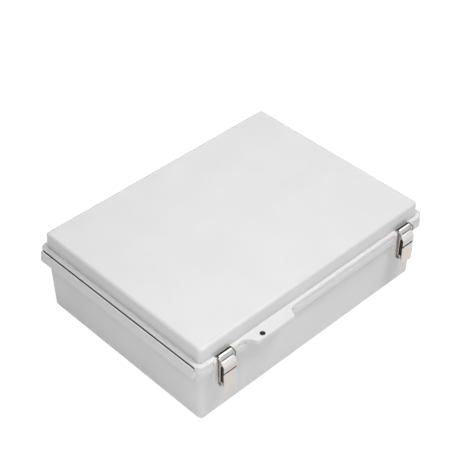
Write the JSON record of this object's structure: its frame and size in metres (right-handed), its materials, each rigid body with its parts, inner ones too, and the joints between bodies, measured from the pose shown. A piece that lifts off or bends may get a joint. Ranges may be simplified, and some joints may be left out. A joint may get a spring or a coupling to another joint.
{
  "type": "hinged plastic enclosure",
  "caption": "Shallow grey plastic enclosure with a hinged, gasketed lid, over-centre steel draw latches on one long side, a grip tab with a padlock hole, and threaded bushes in its back.",
  "frame": {"origin": "centre of the flat back of the base, the face it lies on", "axes": "+X along the long side, -Y towards the latches, +Y towards the hinge, +Z from the back to the lid"},
  "size_m": [0.4114, 0.3273, 0.1236],
  "materials": {
    "abs": "fine satin",
    "steel": "brushed",
    "brass": "turned",
    "foam": "closed-cell foam"
  },
  "bodies": {
    "base": {"base_box": "abs", "hinge_pin_left": "steel", "hinge_pin_right": "steel", "latch_bracket_left": "steel", "latch_bracket_right": "steel", "bracket_screws": "steel", "lever_pin_left": "steel", "lever_pin_right": "steel", "plate_inserts": "brass", "wall_inserts": "brass"},
    "lid": {"lid": "abs", "lid_gasket": "foam"},
    "lever_left": {"latch_lever_left": "steel", "loop_pin_left": "steel"},
    "loop_left": {"latch_loop_left": "steel"},
    "lever_right": {"latch_lever_right": "steel", "loop_pin_right": "steel"},
    "loop_right": {"latch_loop_right": "steel"}
  },
  "joints": [
    {"name": "lid_hinge", "type": "hinge", "parent": "base", "child": "lid", "pos_m": [0, 0.1568, 0.0939], "axis": [-1, 0, 0], "range_deg": [0, 180]},
    {"name": "lever_left_pivot", "type": "hinge", "parent": "base", "child": "lever_left", "pos_m": [-0.162, -0.1554, 0.0923], "axis": [-1, 0, 0], "range_deg": [0, 120]},
    {"name": "loop_left_pivot", "type": "hinge", "parent": "lever_left", "child": "loop_left", "pos_m": [-0.162, -0.15565, 0.0615], "axis": [1, 0, 0], "range_deg": [0, 150]},
    {"name": "lever_right_pivot", "type": "hinge", "parent": "base", "child": "lever_right", "pos_m": [0.162, -0.1554, 0.0923], "axis": [-1, 0, 0], "range_deg": [0, 120]},
    {"name": "loop_right_pivot", "type": "hinge", "parent": "lever_right", "child": "loop_right", "pos_m": [0.162, -0.15565, 0.0615], "axis": [1, 0, 0], "range_deg": [0, 150]}
  ],
  "couplings": [
    {"joint": "loop_left_pivot", "follows": "lever_left_pivot", "ratio": 1.25},
    {"joint": "loop_right_pivot", "follows": "lever_right_pivot", "ratio": 1.25}
  ]
}
